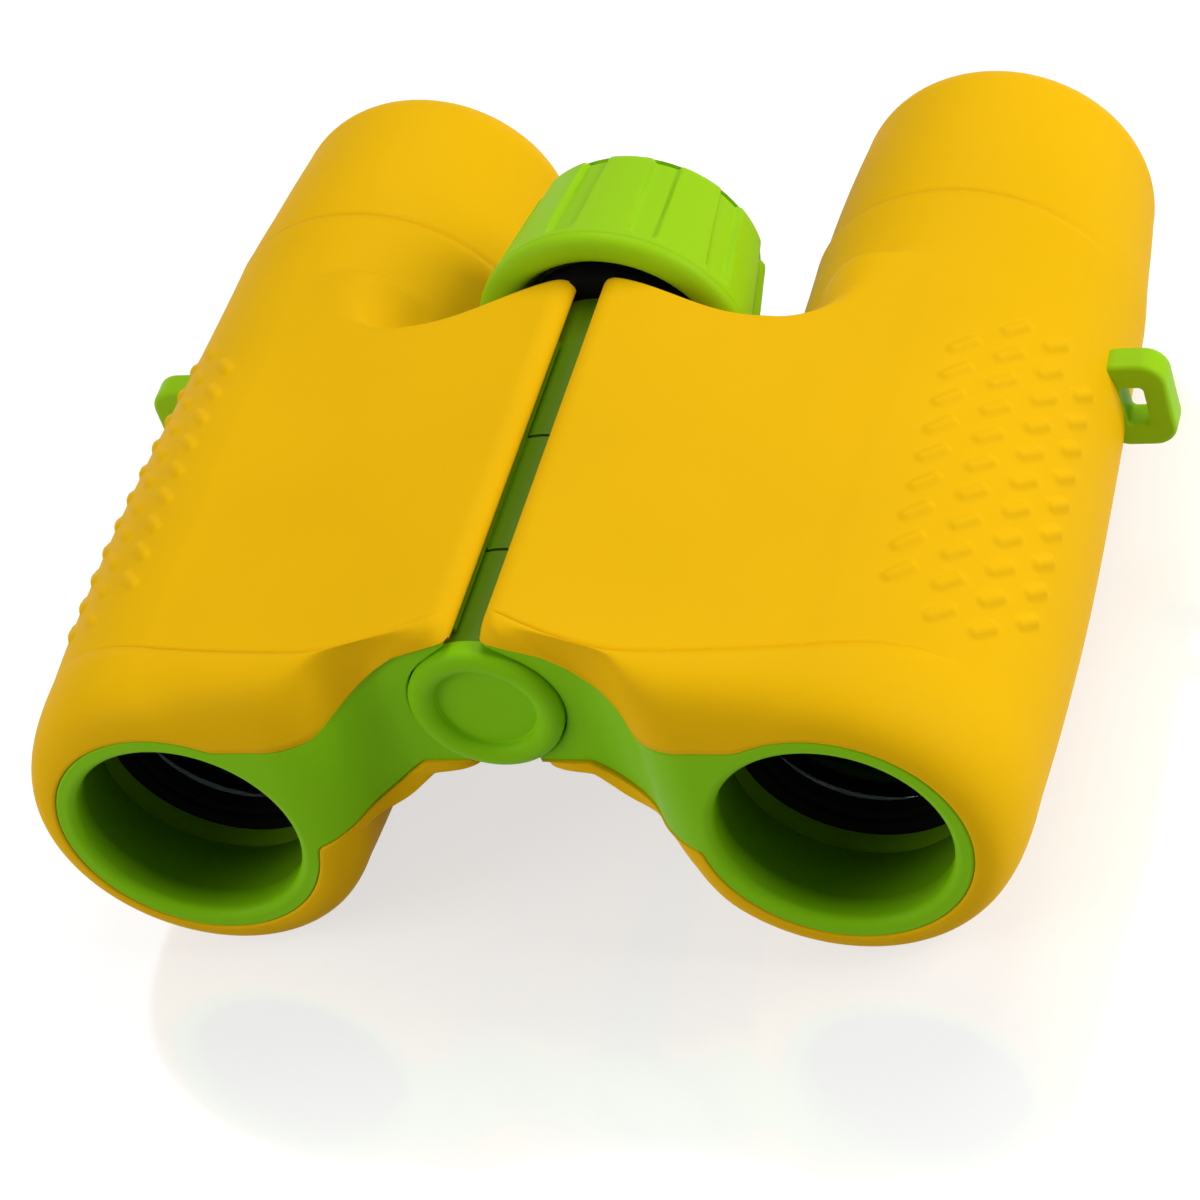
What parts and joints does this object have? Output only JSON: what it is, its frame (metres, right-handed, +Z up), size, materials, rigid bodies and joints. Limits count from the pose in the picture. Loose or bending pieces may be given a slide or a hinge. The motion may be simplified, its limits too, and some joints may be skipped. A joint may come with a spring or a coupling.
{
  "type": "binoculars",
  "caption": "Children's binoculars: rubber-armoured barrels folding on a centre hinge, green objective rims, strap lugs and a grooved focus wheel that slides the objective lenses.",
  "frame": {"origin": "bottom centre of the binoculars as they stand on their two barrels: half way along the length, midway between the barrels, at the lowest point of the barrels", "axes": "+X across, towards the half that carries the hinge pin; +Y from the objectives to the eyepieces; +Z up, towards the hinge and focus wheel"},
  "size_m": [0.1072, 0.094, 0.0426],
  "materials": {
    "yellow_rubber": "soft satin moulded rubber",
    "green_face": "satin moulded",
    "green_wheel": "satin moulded",
    "green_frame": "plain moulded",
    "black_plastic": "matt, blackened",
    "grey_plastic": "plain moulded",
    "glass": "polished, coated",
    "steel": "turned",
    "brass": "turned"
  },
  "bodies": {
    "right_half": {"right_armour": "yellow_rubber", "right_chassis": "green_frame", "right_bezel": "green_face", "right_strap_lug": "green_face", "right_prism_cage": "black_plastic", "right_front_prism": "glass", "right_roof_prism": "glass", "right_eyepiece_tube": "black_plastic", "right_field_lens": "glass", "right_eye_lens": "glass", "right_eyepiece_ring": "black_plastic", "hinge_pin": "steel", "hinge_bush": "brass", "hinge_cap": "green_face", "hinge_collar": "black_plastic", "hinge_washers": "grey_plastic"},
    "left_half": {"left_armour": "yellow_rubber", "left_chassis": "green_frame", "left_bezel": "green_face", "left_strap_lug": "green_face", "left_prism_cage": "black_plastic", "left_front_prism": "glass", "left_roof_prism": "glass", "left_eyepiece_tube": "black_plastic", "left_field_lens": "glass", "left_eye_lens": "glass", "left_eyepiece_ring": "black_plastic"},
    "focus_drive": {"focus_wheel": "green_wheel", "wheel_cap": "green_wheel", "focus_spindle": "steel", "spindle_clip": "steel"},
    "right_objective": {"focus_nut": "brass", "right_focus_arm": "grey_plastic", "right_objective_cell": "black_plastic", "right_objective_lens": "glass", "right_objective_ring": "black_plastic"},
    "left_objective": {"left_focus_arm": "grey_plastic", "left_objective_cell": "black_plastic", "left_objective_lens": "glass", "left_objective_ring": "black_plastic"}
  },
  "joints": [
    {"name": "barrel_hinge", "type": "hinge", "parent": "right_half", "child": "left_half", "pos_m": [0, 0, 0.0287], "axis": [0, 1, 0], "range_deg": [-36, 13]},
    {"name": "focus_turn", "type": "hinge", "parent": "right_half", "child": "focus_drive", "pos_m": [0, 0, 0.0287], "axis": [0, 1, 0], "range_deg": [-180, 180]},
    {"name": "right_focus", "type": "slide", "parent": "right_half", "child": "right_objective", "axis": [0, 1, 0], "range_m": [-0.0015, 0.0015]},
    {"name": "left_focus", "type": "slide", "parent": "left_half", "child": "left_objective", "axis": [0, 1, 0], "range_m": [-0.0015, 0.0015]}
  ],
  "couplings": [
    {"joint": "right_focus", "follows": "focus_turn", "m_per_rad": 0.000477},
    {"joint": "left_focus", "follows": "focus_turn", "m_per_rad": 0.000477}
  ]
}
